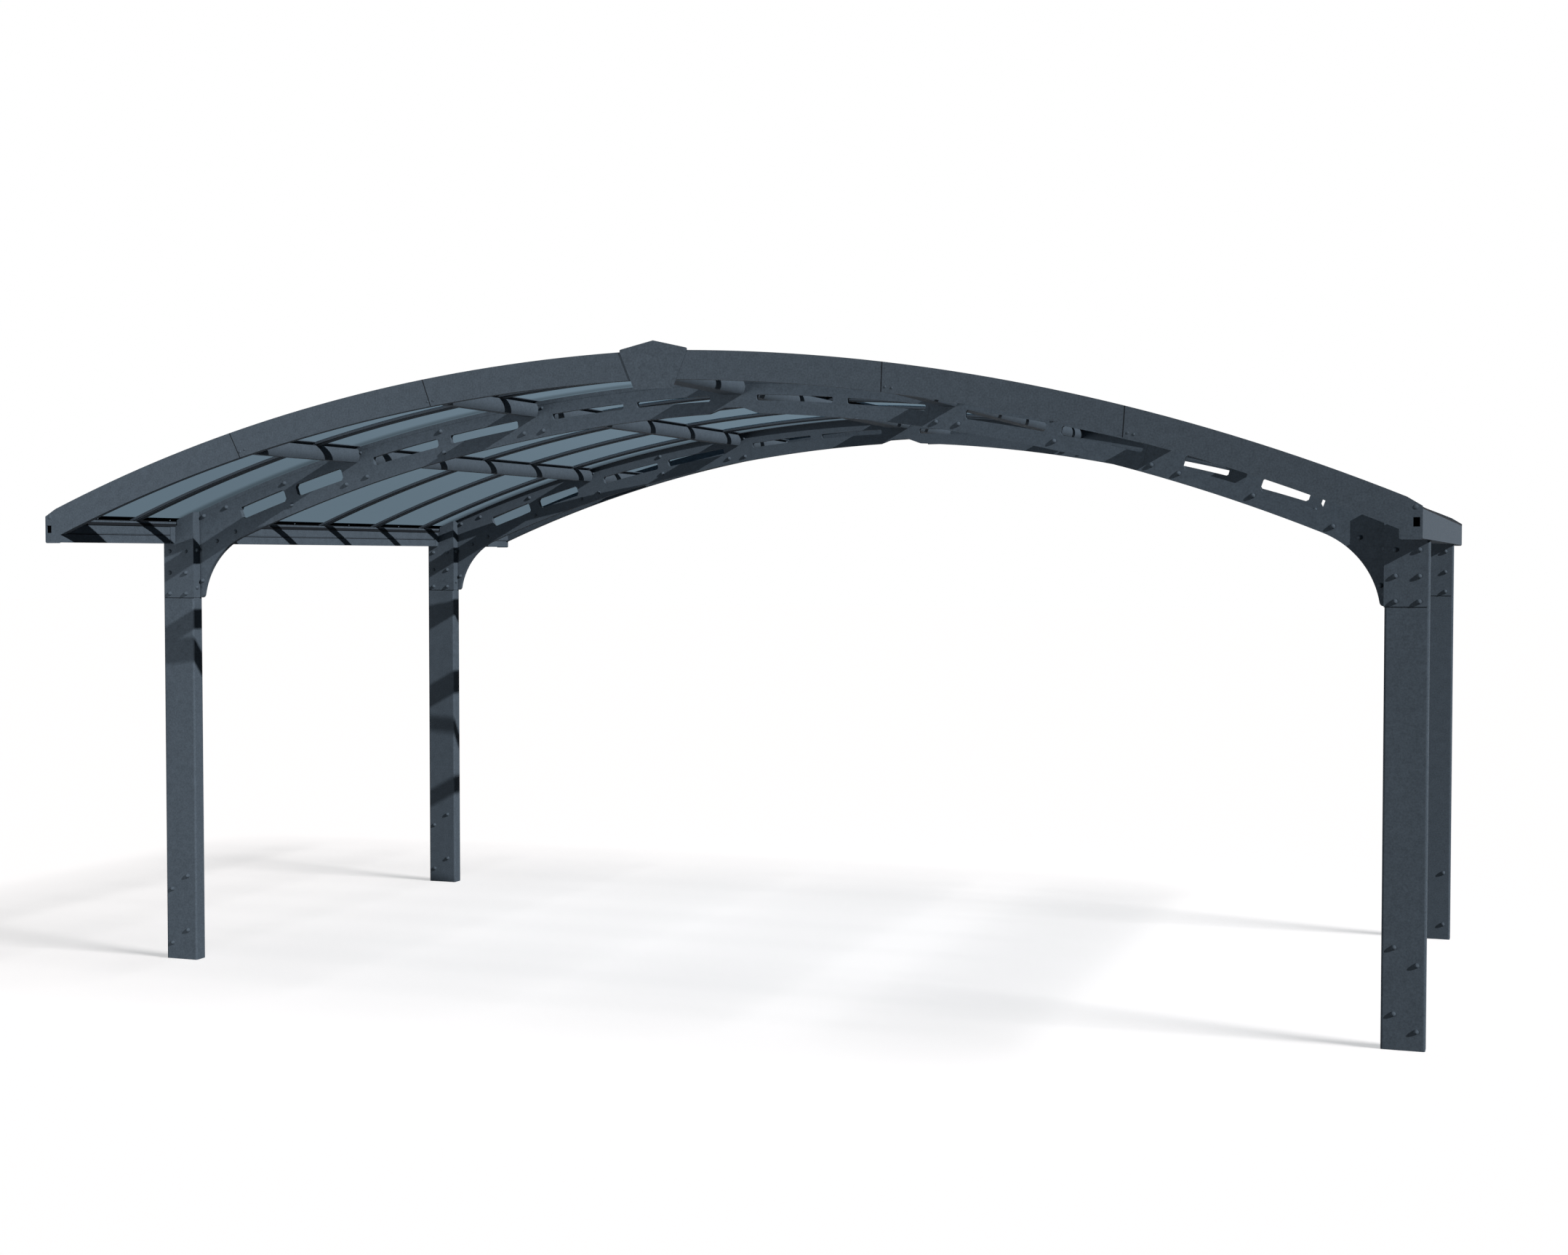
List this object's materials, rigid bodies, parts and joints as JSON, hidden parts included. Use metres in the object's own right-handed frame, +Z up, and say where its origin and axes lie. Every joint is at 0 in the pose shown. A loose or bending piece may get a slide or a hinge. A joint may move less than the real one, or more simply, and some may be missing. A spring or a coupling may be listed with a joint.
{
  "type": "double carport",
  "caption": "Open double carport: box posts carry slotted arch frames and purlins under a shallow pointed-arch roof of tinted panels, with side gutters and gable trim.",
  "frame": {"origin": "on the ground, at the middle of the four posts and under the ridge", "axes": "+Z up, +X to the right seen from the entrance side, +Y from the entrance to the back, along the ridge"},
  "size_m": [5.019, 3.714, 2.396],
  "materials": {
    "frame_coating": "matt textured powder coat, anthracite",
    "trim_coating": "matt textured powder coat, anthracite",
    "bar_coating": "satin powder coat, anthracite",
    "glazing": "solar-grey translucent polycarbonate"
  },
  "bodies": {
    "root": {"post_front_left": "frame_coating", "head_bracket_front_left": "frame_coating", "post_front_right": "frame_coating", "head_bracket_front_right": "frame_coating", "front_arch_left_eave": "frame_coating", "front_arch_left_middle": "frame_coating", "front_arch_ridge": "frame_coating", "front_arch_right_middle": "frame_coating", "front_arch_right_eave": "frame_coating", "front_fascia_left_eave": "trim_coating", "front_fascia_left_middle": "trim_coating", "front_fascia_left_ridge": "trim_coating", "front_fascia_right_ridge": "trim_coating", "front_fascia_right_middle": "trim_coating", "front_fascia_right_eave": "trim_coating", "front_keystone_plate": "trim_coating", "post_back_left": "frame_coating", "head_bracket_back_left": "frame_coating", "post_back_right": "frame_coating", "head_bracket_back_right": "frame_coating", "back_arch_left_eave": "frame_coating", "back_arch_left_middle": "frame_coating", "back_arch_ridge": "frame_coating", "back_arch_right_middle": "frame_coating", "back_arch_right_eave": "frame_coating", "back_fascia_left_eave": "trim_coating", "back_fascia_left_middle": "trim_coating", "back_fascia_left_ridge": "trim_coating", "back_fascia_right_ridge": "trim_coating", "back_fascia_right_middle": "trim_coating", "back_fascia_right_eave": "trim_coating", "back_keystone_plate": "trim_coating", "ridge_cover": "trim_coating", "ridge_purlin": "frame_coating", "eave_strips": "trim_coating", "left_gutter": "trim_coating", "left_upper_purlin": "frame_coating", "left_lower_purlin": "frame_coating", "left_roof_panels": "glazing", "left_glazing_bars": "bar_coating", "right_gutter": "trim_coating", "right_upper_purlin": "frame_coating", "right_lower_purlin": "frame_coating", "right_roof_panels": "glazing", "right_glazing_bars": "bar_coating"}
  },
  "joints": []
}
